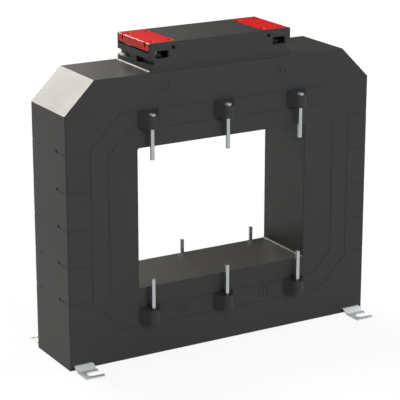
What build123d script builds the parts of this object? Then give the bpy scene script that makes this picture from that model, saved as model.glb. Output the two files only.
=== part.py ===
from build123d import *
import math
import os

# Window type current transformer, in millimetres.
# X runs across the front, Y from the front to the back, Z up. The origin is on the
# surface that the housing stands on, below the middle of the housing.

# Housing, moulded as a front and a rear half that meet at Y = 0
housing_width = 240.0
housing_height = 199.8
housing_depth = 52.6
corner_cut = 22.0
wall = 2.4
edge_round = 1.2
window_width = 133.4
window_height = 99.2
window_corner = 1.5
window_edge_round = 0.6

# Lap joint and pegs between the two halves
lap_thickness = 1.1
lap_height = 1.5
lap_clearance = 0.15
post_radius = 4.0
post_margin_x = 13.6
post_margin_high = 15.4
post_margin_low = 12.0
peg_radius = 2.0
peg_length = 4.0
peg_clearance = 0.1

# Decorative grooves of the faces: an outer and an inner cut-corner ring, and five levels
ring_half_width = 102.8
ring_half_height = 76.2
ring_corner_cut = 22.5
ring_spacing = 13.2
groove_width = 1.8
groove_depth = 0.25
level_count = 5
level_pitch = 25.9
level_width = 2.2
level_side_depth = 0.7
front_level_run = 15.2
rear_level_run = 12.2

# Clamp screws that hold the busbars, with their bosses and captive nuts
clamp_screw_pitch = 58.8
screw_standoff = 5.7
screw_radius = 1.5
screw_length = 30.8
screw_head_radius = 2.7
screw_head_height = 2.6
screw_head_round = 1.1
screw_head_rise = 0.3
screw_tip_chamfer = 0.5
cross_width = 0.8
cross_length = 3.2
cross_depth = 1.2
cross_taper = 10.0
boss_base_width = 16.4
boss_nose_radius = 4.5
boss_round = 0.6
boss_hole_radius = 1.85
boss_recess_radius = 3.2
nut_sides = 6
nut_across_flats = 5.5
nut_thickness = 2.4
nut_from_window_end = 1.6
nut_clearance = 0.1
running_clearance = 0.05

# Sheet metal feet and their pockets in the bottom corners
foot_inset = 9.7
foot_width = 14.3
foot_thickness = 0.9
foot_reach = 19.2
foot_slope_run = 5.6
foot_pad_height = 0.2
foot_tongue_height = 2.7
foot_tongue_length = 14.0
foot_bend_radius = 1.5
foot_corner_round = 1.0
foot_slot_width = 6.8
foot_slot_distance = 12.4
foot_catch_radius = 2.0
foot_catch_height = 0.7
foot_catch_inset = 9.0
foot_clearance = 0.1
foot_pocket_width = 16.2
foot_pocket_low = 0.9
foot_pocket_high = 4.3
foot_pocket_depth = 3.0
foot_block_height = 6.2

# Core ring, its two channel shaped cases and the winding on each of the four limbs
core_half_width = 93.4
core_half_height = 74.7
core_build = 16.0
core_depth = 24.0
core_corner = 14.0
case_thickness = 1.2
case_clearance = 0.3
winding_thickness = 2.5
winding_round = 2.0
winding_clearance = 0.3
side_winding_length = 108.0
level_winding_length = 140.0
core_pad_radius = 6.0
core_pad_hole = 4.0
core_pad_clearance = 0.1
rib_thickness = 1.6
rib_clearance = 0.2

# Terminal housing on top
box_length = 110.6
box_depth = 47.0
box_height = 19.0
box_wall = 2.2
box_top = 1.6
box_round = 0.7
box_top_round = 0.5
box_flare = 0.7
bay_floor = 7.0
bay_floor_thickness = 2.0
bay_length = 23.1
bay_wall = 1.6
end_block = 4.9
end_block_height = 9.6
end_wall = 2.5
end_wall_height = 12.1
recess_low = 3.8
recess_high = 8.0
recess_depth = 3.0
recess_rise = 1.2
recess_rib = 8.4
entry_inset = 9.2
entry_width = 9.8
entry_height = 4.7
entry_middle = 10.85
entry_corner = 0.6
entry_rim = 1.2
stop_length = 7.0
stop_width = 1.0
stop_height = 1.6
hook_distance = 20.0
hook_width = 6.0
hook_thickness = 1.6
hook_catch = 0.7
hook_root = 4.8
hook_tail = 4.8
hook_clearance = 0.2
lead_slot_length = 16.0
lead_slot_width = 9.0
lead_slot_round = 2.2

# Hinged terminal covers and their pins
cover_length = 21.0
cover_thickness = 1.6
cover_leg = 5.7
cover_leg_round = 2.0
cover_edge_round = 0.8
cover_clearance = 0.2
cover_rest_gap = 0.1
hinge_inset = 17.7
hinge_drop = 3.8
hinge_pin_radius = 1.0
pin_chamfer = 0.2
pin_seat_depth = 0.8
pin_window = 2.5
lug_radius = 2.2
lug_thickness = 3.0
cover_recess_distance = 16.0
cover_recess_width = 2.0
cover_recess_depth = 1.1
end_recess_length = 6.4
end_recess_drop = 3.2
hinge_recess_inset = 0.3
hinge_recess_length = 3.9

# Terminals: a bar with a solder tongue, screws and clamp washers
bar_inset = 9.3
bar_width = 8.0
bar_length = 34.0
bar_thickness = 2.0
bar_round = 1.0
tongue_width = 5.0
tongue_reach = 22.0
tongue_clearance = 0.15
terminal_screw_offset = 11.5
terminal_screw_radius = 2.0
terminal_shank_length = 4.6
terminal_head_radius = 3.7
terminal_head_height = 2.8
terminal_head_round = 0.9
terminal_cross_length = 4.4
washer_width = 8.4
washer_thickness = 1.2
washer_chamfer = 0.3
washer_clearance = 0.1
floor_hole_radius = 2.4

# Secondary leads
lead_radius = 1.0
lead_start = 4.5
lead_bend = 4.0
lead_overlap = 4.5

# How far a cut runs past the faces that it opens
overcut = 1.0

os.makedirs("parts", exist_ok=True)

half_depth = housing_depth / 2
middle = housing_height / 2
foot_distance = housing_width / 2 - foot_inset
boss_height = ring_spacing - groove_width
boss_reach = ring_half_height - ring_spacing / 2
no_turn = Location()
half_turn = Location((0, 0, 0), (0, 0, 180))
box_end = box_length / 2
bay_start = box_end - bay_length
entry_distance = box_end - entry_inset
cover_inner_end = box_end - cover_length
hinge_distance = box_end - hinge_inset
bar_distance = box_end - bar_inset


def save(part, name):
    """Names a finished piece and writes its STEP file."""
    part.label = name
    export_step(part, f"parts/{name}.step")


def cut_corners(half_width, low, high, high_cut, low_cut=0.0):
    """Fills the open sketch with a rectangle whose corners are cut at 45 degrees."""
    with BuildLine() as outline:
        points = [
            (-half_width, low + low_cut),
            (-half_width + low_cut, low),
            (half_width - low_cut, low),
            (half_width, low + low_cut),
            (half_width, high - high_cut),
            (half_width - high_cut, high),
            (-half_width + high_cut, high),
            (-half_width, high - high_cut),
        ]
        Polyline(*dict.fromkeys(points), close=True)
    make_face(outline.edges())


def housing_outline(inset=0.0):
    """Fills the open sketch with the front outline, moved in from the outer faces."""
    cut = corner_cut - inset * (2 - math.sqrt(2))
    cut_corners(housing_width / 2 - inset, inset, housing_height - inset, cut)


def window_outline(grow=0.0, mode=Mode.ADD):
    """Draws the window, moved out into the housing."""
    with Locations((0, middle)):
        RectangleRounded(window_width + 2 * grow, window_height + 2 * grow, window_corner + grow, mode=mode)


def both_rims(near, far):
    """Fills the open sketch with the bands of the two rims between two depths into the wall."""
    with BuildSketch(mode=Mode.PRIVATE) as inside:
        housing_outline(far)
    housing_outline(near)
    add(inside.sketch, mode=Mode.SUBTRACT)
    window_outline(far)
    window_outline(near, mode=Mode.SUBTRACT)


def groove_ring(inset):
    """Fills the open sketch with one cut-corner groove, moved in from the outer ring."""
    cut = ring_corner_cut - inset * (2 - math.sqrt(2))
    spread = groove_width / 2 * (2 - math.sqrt(2))
    width = ring_half_width - inset
    height = ring_half_height - inset
    grow = groove_width / 2
    with BuildSketch(mode=Mode.PRIVATE) as inside:
        cut_corners(width - grow, middle - height + grow, middle + height - grow, cut - spread, cut - spread)
    cut_corners(width + grow, middle - height - grow, middle + height + grow, cut + spread, cut + spread)
    add(inside.sketch, mode=Mode.SUBTRACT)


def level_groove(side, level_run):
    """Fills the open sketch with the plan of a level groove, from the outer ring round the edge."""
    start = side * ring_half_width
    side_face = side * housing_width / 2
    beyond = side_face + side * overcut
    floor = side_face - side * level_side_depth
    with BuildLine() as outline:
        Polyline(
            (start, -half_depth - overcut),
            (beyond, -half_depth - overcut),
            (beyond, -half_depth + level_run),
            (floor, -half_depth + level_run),
            (floor, -half_depth + groove_depth),
            (start, -half_depth + groove_depth),
            close=True,
        )
    make_face(outline.edges())


def nut_outline(clearance=0.0):
    """Draws the hexagon of a clamp nut with a corner towards the front."""
    corner_radius = (nut_across_flats / 2 + clearance) / math.cos(math.pi / nut_sides)
    RegularPolygon(corner_radius, nut_sides, rotation=180 / nut_sides)


def clamp_boss():
    """Solid wedge with a round nose: wall face at Y = 0, nose towards -Y, middle at Z = 0."""
    with BuildPart() as boss:
        with BuildSketch():
            with Locations((0, -screw_standoff)):
                Circle(boss_nose_radius)
            Rectangle(boss_base_width, wall / 2, align=(Align.CENTER, Align.MIN))
            make_hull()
        extrude(amount=boss_height / 2, both=True)
        fillet(boss.faces().filter_by(Axis.Z).edges(), boss_round)
    return boss.part


def boss_cuts():
    """All that is cut from a boss, with its head end up: screw hole, head recess and nut pocket."""
    recess = screw_head_height - screw_head_rise
    nut_low = -boss_height / 2 + nut_from_window_end
    with BuildPart() as cuts:
        with Locations((0, -screw_standoff, 0)):
            Cylinder(boss_hole_radius, boss_height + 2 * boss_round)
        with Locations((0, -screw_standoff, boss_height / 2 + boss_round)):
            Cylinder(boss_recess_radius, recess + boss_round, align=(Align.CENTER, Align.CENTER, Align.MAX))
        with BuildSketch(Plane.XY.offset(nut_low - nut_clearance)):
            with Locations((0, -screw_standoff)):
                nut_outline(nut_clearance)
            with Locations((0, (wall - screw_standoff) / 2)):
                Rectangle(nut_across_flats + 2 * nut_clearance, wall + screw_standoff)
        extrude(amount=nut_thickness + 2 * nut_clearance)
    return cuts.part


def boss_places(head_up):
    """Places of the three bosses above or below the window, turned so that heads face outwards."""
    height = middle + boss_reach if head_up else middle - boss_reach
    turn = 0 if head_up else 180
    columns = (-clamp_screw_pitch, 0, clamp_screw_pitch)
    return [Location((x, -half_depth, height), (0, turn, 0)) for x in columns]


def foot_pockets():
    """All that is cut for one foot: the pocket in the face and the slot for its tongue."""
    slot_height = foot_thickness + 2 * foot_clearance
    with BuildPart() as pocket:
        with Locations((0, -overcut, foot_pocket_low)):
            Box(foot_pocket_width, foot_pocket_depth + overcut, foot_pocket_high - foot_pocket_low,
                align=(Align.CENTER, Align.MIN, Align.MIN))
        with Locations((0, -overcut, foot_tongue_height - foot_clearance)):
            Box(foot_width + 2 * foot_clearance, foot_tongue_length + foot_clearance + overcut, slot_height,
                align=(Align.CENTER, Align.MIN, Align.MIN))
    return pocket.part


def half_shell(level_run):
    """One moulded half in the front position: face towards -Y, open at the seam."""
    cavity_depth = half_depth - wall
    case_face = core_depth / 2 + case_clearance + case_thickness
    with BuildPart() as half:
        with BuildSketch(Plane.XZ):
            housing_outline()
            window_outline(mode=Mode.SUBTRACT)
        extrude(amount=half_depth)
        face = half.faces().sort_by(Axis.Y)[0]
        fillet(face.outer_wire().edges(), edge_round)
        face = half.faces().sort_by(Axis.Y)[0]
        fillet(face.inner_wires()[0].edges(), window_edge_round)
        with BuildSketch(Plane.XZ):
            housing_outline(wall)
            window_outline(wall, mode=Mode.SUBTRACT)
        extrude(amount=cavity_depth, mode=Mode.SUBTRACT)

        # Posts at the corners, rings that the core case rests on, and ribs to its corners
        with BuildSketch(Plane.XZ):
            with Locations(*post_places()):
                Circle(post_radius)
        extrude(amount=cavity_depth + wall / 2)
        with BuildSketch(Plane.XZ.offset(case_face + core_pad_clearance)):
            with Locations(*core_corner_places()):
                Circle(core_pad_radius)
                Circle(core_pad_hole, mode=Mode.SUBTRACT)
        extrude(amount=half_depth - case_face - wall / 2)
        with BuildSketch(Plane.XZ.offset(lap_height + lap_clearance)):
            corner_ribs()
        extrude(amount=cavity_depth - lap_height)

        # Blocks that the feet slide into
        for side in (-1, 1):
            with BuildSketch(Plane.XY.offset(wall / 2)):
                with Locations((side * foot_distance, -half_depth + wall / 2)):
                    Rectangle(foot_pocket_width, foot_tongue_length, align=(Align.CENTER, Align.MIN))
            extrude(amount=foot_block_height - wall / 2)
            with Locations((side * foot_distance, -half_depth, 0)):
                add(foot_pockets(), mode=Mode.SUBTRACT)
            catch_y = -half_depth + foot_catch_inset
            with Locations((side * foot_distance, catch_y, foot_tongue_height - foot_clearance)):
                Cylinder(foot_catch_radius - foot_clearance, foot_catch_height,
                         align=(Align.CENTER, Align.CENTER, Align.MIN))

        # Bosses of the clamp screws
        for head_up in (True, False):
            with Locations(*boss_places(head_up)):
                add(clamp_boss())
        # Grooves of the face and the sides
        with BuildSketch(Plane.XZ.offset(half_depth)):
            groove_ring(0)
            groove_ring(ring_spacing)
        extrude(amount=-groove_depth, mode=Mode.SUBTRACT)
        for level in range(level_count):
            low = middle + (level - (level_count - 1) / 2) * level_pitch - level_width / 2
            for side in (-1, 1):
                with BuildSketch(Plane.XY.offset(low)):
                    level_groove(side, level_run)
                extrude(amount=level_width, mode=Mode.SUBTRACT)
        for head_up in (True, False):
            with Locations(*boss_places(head_up)):
                add(boss_cuts(), mode=Mode.SUBTRACT)

        # Slots in the top wall for the hooks of the terminal housing
        hook_y = -box_depth / 2 + box_wall + hook_thickness / 2
        with BuildSketch(Plane.XY.offset(housing_height - wall - overcut)):
            with Locations((-hook_distance, hook_y), (hook_distance, hook_y)):
                Rectangle(hook_width + 2 * hook_clearance, hook_thickness + hook_catch + 2 * hook_clearance)
        extrude(amount=wall + 2 * overcut, mode=Mode.SUBTRACT)
    return half.part


def post_places():
    """Centres of the four posts, in the plane of the front."""
    x = housing_width / 2 - post_margin_x
    high = housing_height - post_margin_high
    return [(-x, post_margin_low), (x, post_margin_low), (-x, high), (x, high)]


def core_corner_places():
    """Centres of the core's four corners at the middle of its build."""
    inward = core_corner - core_corner / math.sqrt(2)
    x = core_half_width - inward
    z = core_half_height - inward
    return [(sx * x, middle + sz * z) for sx in (-1, 1) for sz in (-1, 1)]


def corner_ribs():
    """Fills the open sketch with four slanted ribs from the window's lining to the core case."""
    lining_x = window_width / 2 + wall / 2
    lining_z = window_height / 2 + wall / 2
    inner_round = core_corner - core_build / 2 - case_clearance - case_thickness
    centre_x = core_half_width - core_corner
    centre_z = core_half_height - core_corner
    reach = inner_round / math.sqrt(2) - rib_clearance
    end_x = centre_x + reach
    end_z = centre_z + reach
    length = math.hypot(end_x - lining_x, end_z - lining_z)
    angle = math.degrees(math.atan2(end_z - lining_z, end_x - lining_x))
    for sx, sz in ((-1, -1), (-1, 1), (1, -1), (1, 1)):
        with Locations((sx * (lining_x + end_x) / 2, middle + sz * (lining_z + end_z) / 2)):
            Rectangle(length, rib_thickness, rotation=sx * sz * angle)


def lead_slot():
    """Solid of the slot for the leads through the top walls of both shells."""
    with BuildPart() as slot:
        with BuildSketch(Plane.XY.offset(housing_height - wall - overcut)):
            RectangleRounded(lead_slot_length, lead_slot_width, lead_slot_round)
        extrude(amount=wall + 2 * overcut)
    return slot.part


# Front half: carries the tongue of the lap joint and the pegs
front_half = half_shell(front_level_run)
with BuildPart() as front_shell:
    add(front_half)
    with BuildSketch(Plane.XZ):
        both_rims(wall - lap_thickness, wall)
    extrude(amount=wall)
    with BuildSketch(Plane.XZ.offset(-lap_height)):
        both_rims(wall - lap_thickness, wall)
    extrude(amount=lap_height)
    with BuildSketch(Plane.XZ.offset(-peg_length)):
        with Locations(*post_places()):
            Circle(peg_radius)
    extrude(amount=peg_length + wall)
    add(lead_slot(), mode=Mode.SUBTRACT)
save(front_shell.part, "front_shell")

# Rear half: the same moulding turned round, with the rebate and the peg sockets
rear_half = half_shell(rear_level_run).mirror(Plane.XZ)
with BuildPart() as rear_shell:
    add(rear_half)
    with BuildSketch(Plane.XZ.offset(overcut)):
        both_rims(wall - lap_thickness - lap_clearance, wall + lap_clearance)
    extrude(amount=-lap_height - lap_clearance - overcut, mode=Mode.SUBTRACT)
    with BuildSketch(Plane.XZ):
        with Locations(*post_places()):
            Circle(peg_radius + peg_clearance)
    extrude(amount=-peg_length - peg_clearance, mode=Mode.SUBTRACT)
    add(lead_slot(), mode=Mode.SUBTRACT)
save(rear_shell.part, "rear_shell")


def core_ring(grow):
    """Fills the open sketch with the ring of the core, grown on all sides."""
    build = core_build / 2 + grow
    with Locations((0, middle)):
        RectangleRounded(2 * (core_half_width + build), 2 * (core_half_height + build), core_corner + build)
        RectangleRounded(2 * (core_half_width - build), 2 * (core_half_height - build), core_corner - build,
                         mode=Mode.SUBTRACT)


# Core of wound strip
with BuildPart() as core:
    with BuildSketch(Plane.XZ):
        core_ring(0)
    extrude(amount=core_depth / 2, both=True)
save(core.part, "core")

# Front and rear case of the core, two channels that meet at the seam
with BuildPart() as front_case:
    with BuildSketch(Plane.XZ):
        core_ring(case_clearance + case_thickness)
    extrude(amount=core_depth / 2 + case_clearance + case_thickness)
    with BuildSketch(Plane.XZ):
        core_ring(case_clearance)
    extrude(amount=core_depth / 2 + case_clearance, mode=Mode.SUBTRACT)
save(front_case.part, "core_case_front")
with BuildPart() as rear_case:
    add(front_case.part.mirror(Plane.XZ))
save(rear_case.part, "core_case_rear")


def limb_winding(length):
    """Winding round one straight limb: a rounded tube along Z, with the limb's section in XY."""
    inner = case_clearance + case_thickness + winding_clearance
    with BuildPart() as winding:
        with BuildSketch():
            grow = inner + winding_thickness
            RectangleRounded(core_build + 2 * grow, core_depth + 2 * grow, winding_round)
            Rectangle(core_build + 2 * inner, core_depth + 2 * inner, mode=Mode.SUBTRACT)
        extrude(amount=length / 2, both=True)
    return winding.part


winding_places = {
    "winding_left": (side_winding_length, Location((-core_half_width, 0, middle))),
    "winding_right": (side_winding_length, Location((core_half_width, 0, middle))),
    "winding_top": (level_winding_length, Location((0, 0, middle + core_half_height), (0, 90, 0))),
    "winding_bottom": (level_winding_length, Location((0, 0, middle - core_half_height), (0, 90, 0))),
}
for name, (length, place) in winding_places.items():
    coil = limb_winding(length)
    with BuildPart() as winding:
        with Locations(place):
            add(coil)
    save(winding.part, name)


def box_plane(height):
    """Level plane at a height above the top of the main housing."""
    return Plane.XY.offset(housing_height + height)


hinge_height = box_height - hinge_drop
swing_radius = math.hypot(hinge_distance - cover_inner_end, hinge_drop) + cover_clearance
inner_half_depth = box_depth / 2 - box_wall
hollow_end = bay_start - bay_wall


def bay_cuts():
    """All that is cut from the right end of the terminal housing."""
    with BuildPart() as cuts:
        # The bay itself, wider above the end block and open above the end wall
        with BuildSketch(Plane.XZ):
            with BuildLine():
                block_x = box_end - end_block
                wall_x = box_end - end_wall
                low = housing_height + bay_floor
                ledge = housing_height + end_block_height
                rim = housing_height + end_wall_height
                under_top = housing_height + box_height - box_top
                above = housing_height + box_height + overcut
                Polyline(
                    (bay_start, low), (block_x, low), (block_x, ledge), (wall_x, ledge), (wall_x, rim),
                    (box_end + overcut, rim), (box_end + overcut, above), (hinge_distance, above),
                    (hinge_distance, under_top), (bay_start, under_top), close=True,
                )
            make_face()
            with Locations((hinge_distance, housing_height + hinge_height)):
                Circle(swing_radius)
        extrude(amount=inner_half_depth, both=True)
        # Hollow below the bay's floor
        with BuildSketch(box_plane(-overcut)):
            Rectangle(block_x, 2 * inner_half_depth, align=(Align.MIN, Align.CENTER))
        extrude(amount=bay_floor - bay_floor_thickness + overcut)
        # Cable entries through the front and rear walls, and the windows over the hinge pins
        with BuildSketch(Plane.XZ.offset(-box_depth / 2 - overcut)):
            with Locations((entry_distance, housing_height + entry_middle)):
                RectangleRounded(entry_width, entry_height, entry_corner)
        extrude(amount=box_depth + 2 * overcut)
        for face_y in (-box_depth / 2, box_depth / 2):
            with Locations((hinge_distance, face_y, housing_height + hinge_height)):
                Box(pin_window, 2 * (box_wall - pin_seat_depth), pin_window)
        with Locations((hinge_distance, 0, housing_height + hinge_height)):
            Cylinder(hinge_pin_radius + running_clearance, box_depth, rotation=(90, 0, 0))
        # Recesses in the end face, either side of a rib, with a sloping ledge
        for side in (-1, 1):
            with BuildSketch(Plane.XZ.offset(-side * recess_rib / 2)):
                with BuildLine():
                    back = box_end - recess_depth
                    high = housing_height + recess_high
                    low = housing_height + recess_low
                    Polyline(
                        (back, low + recess_rise), (box_end, low), (box_end + overcut, low),
                        (box_end + overcut, high), (back, high), close=True,
                    )
                make_face()
            extrude(amount=-side * (box_depth / 2 - recess_rib / 2 + overcut))
        # Way for the tongue of the terminal bar, and holes below the terminal screws
        with Locations((hollow_end + bay_wall / 2, 0, housing_height + bay_floor)):
            Box(bay_wall + 2 * overcut, tongue_width + 2 * tongue_clearance,
                bar_thickness + tongue_clearance, align=(Align.CENTER, Align.CENTER, Align.MIN))
        for screw_y in (-terminal_screw_offset, terminal_screw_offset):
            with Locations((bar_distance, screw_y, housing_height + bay_floor)):
                Cylinder(floor_hole_radius, 2 * (bay_floor_thickness + overcut))
    return cuts.part


def entry_rims(edges):
    """The outer edges of the cable entries, out of all edges of the terminal housing."""
    margin = entry_rim / 2
    height = housing_height + entry_middle
    reach_x = entry_width / 2 + margin
    reach_z = entry_height / 2 + margin
    rims = ShapeList()
    for side in (-1, 1):
        x = side * entry_distance
        for face_y in (-box_depth / 2, box_depth / 2):
            on_face = edges.filter_by_position(Axis.Y, face_y - margin, face_y + margin)
            level = on_face.filter_by_position(Axis.Z, height - reach_z, height + reach_z)
            rims += level.filter_by_position(Axis.X, x - reach_x, x + reach_x)
    return rims


def cover_stops():
    """Two ledges on the bay's side walls that the closed cover rests on."""
    top = box_height - cover_thickness - cover_rest_gap
    with BuildPart() as stops:
        for side in (-1, 1):
            with BuildSketch(box_plane(top - stop_height)):
                with Locations((box_end - end_wall - stop_length / 2, side * inner_half_depth)):
                    Rectangle(stop_length, 2 * stop_width)
            extrude(amount=stop_height)
    return stops.part


def housing_hook():
    """Hook under the front wall of the terminal housing: a leg with a catch towards -Y."""
    with BuildPart() as hook:
        with BuildSketch(Plane.YZ):
            with BuildLine():
                under = -wall - hook_clearance
                tip = under - hook_tail
                Polyline(
                    (-box_wall / 2, hook_root), (hook_thickness, hook_root), (hook_thickness, tip),
                    (hook_catch, tip), (-hook_catch, under - hook_catch / 2),
                    (-hook_catch, under), (0, under), (0, 0), (-box_wall / 2, 0), close=True,
                )
            make_face()
        extrude(amount=hook_width / 2, both=True)
    return hook.part


end_turns = (no_turn, half_turn)
with BuildPart() as terminal_housing:
    with BuildSketch(box_plane(0)):
        Rectangle(box_length, box_depth)
    extrude(amount=box_height)
    fillet(terminal_housing.edges().filter_by(Axis.Z), box_round)
    fillet(terminal_housing.faces().sort_by(Axis.Z)[-1].edges(), box_top_round)
    # A small flare all round the foot, as a moulded fillet
    with BuildSketch(box_plane(0)):
        RectangleRounded(box_length + 2 * box_flare, box_depth + 2 * box_flare, box_round + box_flare)
    with BuildSketch(box_plane(box_flare)):
        RectangleRounded(box_length, box_depth, box_round)
    loft()
    with BuildSketch(box_plane(-overcut)):
        Rectangle(2 * hollow_end, 2 * inner_half_depth)
    extrude(amount=box_height - box_top + overcut, mode=Mode.SUBTRACT)
    bay = bay_cuts()
    with Locations(*end_turns):
        add(bay, mode=Mode.SUBTRACT)
    fillet(entry_rims(terminal_housing.edges()), entry_rim)
    stops = cover_stops()
    with Locations(*end_turns):
        add(stops)
    hook = housing_hook()
    hook_places = [Location((x, -inner_half_depth, housing_height)) for x in (-hook_distance, hook_distance)]
    with Locations(*hook_places, *[half_turn * place for place in hook_places]):
        add(hook)
save(terminal_housing.part, "terminal_housing")


def cover_recesses():
    """All that is cut from the cover's outside: two recesses over its end and two beside its hinge."""
    top = housing_height + box_height
    above = top + overcut
    bottom = top - cover_recess_depth
    outside = box_end + overcut
    end_floor = box_end - cover_recess_depth
    end_start = box_end - end_recess_length
    hinge_start = cover_inner_end + hinge_recess_inset
    hinge_end = hinge_start + hinge_recess_length
    over_end = [
        (end_start, above), (end_start, top), (end_start + cover_recess_depth, bottom), (end_floor, bottom),
        (end_floor, top - end_recess_drop), (outside, top - end_recess_drop), (outside, above),
    ]
    beside_hinge = [
        (hinge_start, above), (hinge_start, top), (hinge_start + cover_recess_depth, bottom),
        (hinge_end - cover_recess_depth, bottom), (hinge_end, top), (hinge_end, above),
    ]
    with BuildPart() as recesses:
        for side in (-1, 1):
            for points in (over_end, beside_hinge):
                with BuildSketch(Plane.XZ.offset(-side * cover_recess_distance)):
                    with BuildLine():
                        Polyline(*points, close=True)
                    make_face()
                extrude(amount=cover_recess_width / 2, both=True)
    return recesses.part


def terminal_cover():
    """Right cover, closed: a top plate with a leg over the end wall and two hinge lugs."""
    top = housing_height + box_height
    half_width = inner_half_depth - cover_clearance
    with BuildPart() as cover:
        with BuildSketch(Plane.XZ.offset(-half_width)):
            with BuildLine():
                Polyline(
                    (cover_inner_end, top), (box_end, top), (box_end, top - cover_leg),
                    (box_end - cover_thickness, top - cover_leg),
                    (box_end - cover_thickness, top - cover_thickness),
                    (cover_inner_end, top - cover_thickness), close=True,
                )
            make_face()
        extrude(amount=2 * half_width)
        end_edges = cover.faces().sort_by(Axis.X)[-1].edges()
        fillet(end_edges.sort_by(Axis.Z)[-1], cover_edge_round)
        leg_corners = cover.edges().filter_by(Axis.X).group_by(Axis.Z)[0]
        fillet(leg_corners, cover_leg_round)
        for side in (-1, 1):
            with BuildSketch(Plane.XZ.offset(-side * half_width)):
                with Locations((hinge_distance, housing_height + hinge_height)):
                    Circle(lug_radius)
                    Rectangle(2 * lug_radius, hinge_drop - cover_thickness / 2,
                              align=(Align.CENTER, Align.MIN))
            extrude(amount=side * lug_thickness)
        with Locations((hinge_distance, 0, housing_height + hinge_height)):
            Cylinder(hinge_pin_radius + running_clearance, 2 * box_depth, rotation=(90, 0, 0),
                     mode=Mode.SUBTRACT)
        add(cover_recesses(), mode=Mode.SUBTRACT)
    return cover.part


def hinge_pin():
    """Pin of the right cover, seated in both walls of the terminal housing."""
    with BuildPart() as pin:
        with Locations((hinge_distance, 0, housing_height + hinge_height)):
            Cylinder(hinge_pin_radius, 2 * (inner_half_depth + pin_seat_depth), rotation=(90, 0, 0))
        chamfer(pin.edges().filter_by(GeomType.CIRCLE), pin_chamfer)
    return pin.part


def terminal_bar():
    """Right terminal bar on the bay's floor, with its solder tongue towards the middle."""
    with BuildPart() as bar:
        with BuildSketch(box_plane(bay_floor)):
            with Locations((bar_distance, 0)):
                RectangleRounded(bar_width, bar_length, bar_round)
                Rectangle(tongue_reach, tongue_width, align=(Align.MAX, Align.CENTER))
            for screw_y in (-terminal_screw_offset, terminal_screw_offset):
                with Locations((bar_distance, screw_y)):
                    Circle(terminal_screw_radius + running_clearance, mode=Mode.SUBTRACT)
        extrude(amount=bar_thickness)
    return bar.part


def cross_recess(length, depth):
    """Cross of two slots with tapering depth, point down from Z = 0."""
    with BuildPart() as cross:
        with BuildSketch():
            Rectangle(length, cross_width)
            Rectangle(cross_width, length)
        extrude(amount=-depth, taper=cross_taper)
    return cross.part


def terminal_screw():
    """Pan head screw, underside of the head at Z = 0."""
    with BuildPart() as screw:
        Cylinder(terminal_screw_radius, terminal_shank_length, align=(Align.CENTER, Align.CENTER, Align.MAX))
        chamfer(screw.edges().sort_by(Axis.Z)[0], screw_tip_chamfer)
        Cylinder(terminal_head_radius, terminal_head_height, align=(Align.CENTER, Align.CENTER, Align.MIN))
        fillet(screw.edges().sort_by(Axis.Z)[-1], terminal_head_round)
        with Locations((0, 0, terminal_head_height)):
            add(cross_recess(terminal_cross_length, cross_depth), mode=Mode.SUBTRACT)
    return screw.part


def clamp_washer():
    """Square clamp washer that rises with its terminal screw, underside at Z = 0."""
    with BuildPart() as washer:
        Box(washer_width, washer_width, washer_thickness, align=(Align.CENTER, Align.CENTER, Align.MIN))
        chamfer(washer.edges().filter_by(Axis.Z), washer_chamfer)
        Hole(terminal_screw_radius + washer_clearance)
    return washer.part


right_cover = terminal_cover()
right_pin = hinge_pin()
right_bar = terminal_bar()
screw_shape = terminal_screw()
washer_shape = clamp_washer()
washer_height = housing_height + bay_floor + bar_thickness
for side_name, turn in (("right", no_turn), ("left", half_turn)):
    with BuildPart() as cover:
        with Locations(turn):
            add(right_cover)
    save(cover.part, f"{side_name}_terminal_cover")
    with BuildPart() as pin:
        with Locations(turn):
            add(right_pin)
    save(pin.part, f"{side_name}_hinge_pin")
    with BuildPart() as bar:
        with Locations(turn):
            add(right_bar)
    save(bar.part, f"{side_name}_terminal_bar")
    bar_x = bar_distance if side_name == "right" else -bar_distance
    for end_name, screw_y in (("front", -terminal_screw_offset), ("rear", terminal_screw_offset)):
        with BuildPart() as washer:
            with Locations((bar_x, screw_y, washer_height)):
                add(washer_shape)
        save(washer.part, f"clamp_washer_{side_name}_{end_name}")
        with BuildPart() as screw:
            with Locations((bar_x, screw_y, washer_height + washer_thickness)):
                add(screw_shape)
        save(screw.part, f"terminal_screw_{side_name}_{end_name}")

# Leads from the top winding through the slot to the tongues of the terminal bars
case_top = middle + core_half_height + core_build / 2 + case_clearance + case_thickness
winding_top = case_top + winding_clearance + winding_thickness
lead_height = washer_height + lead_radius + running_clearance
for side_name, side in (("left", -1), ("right", 1)):
    tongue_end = bar_distance - tongue_reach
    with BuildPart() as lead:
        with BuildLine() as route:
            FilletPolyline(
                (side * lead_start, 0, winding_top + running_clearance),
                (side * lead_start, 0, lead_height),
                (side * (tongue_end + lead_overlap), 0, lead_height),
                radius=lead_bend,
            )
        with BuildSketch(Plane(origin=route.line @ 0, z_dir=route.line % 0)):
            Circle(lead_radius)
        sweep()
    save(lead.part, f"{side_name}_lead")


def clamp_screw():
    """Clamp screw with its head up: underside of the head at Z = 0, shank downwards."""
    with BuildPart() as screw:
        Cylinder(screw_radius, screw_length, align=(Align.CENTER, Align.CENTER, Align.MAX))
        chamfer(screw.edges().sort_by(Axis.Z)[0], screw_tip_chamfer)
        Cylinder(screw_head_radius, screw_head_height, align=(Align.CENTER, Align.CENTER, Align.MIN))
        fillet(screw.edges().sort_by(Axis.Z)[-1], screw_head_round)
        with Locations((0, 0, screw_head_height)):
            add(cross_recess(cross_length, cross_depth), mode=Mode.SUBTRACT)
    return screw.part


def clamp_nut():
    """Captive nut, its lower face at Z = 0."""
    with BuildPart() as nut:
        with BuildSketch():
            nut_outline()
            Circle(screw_radius + running_clearance, mode=Mode.SUBTRACT)
        extrude(amount=nut_thickness)
    return nut.part


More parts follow.
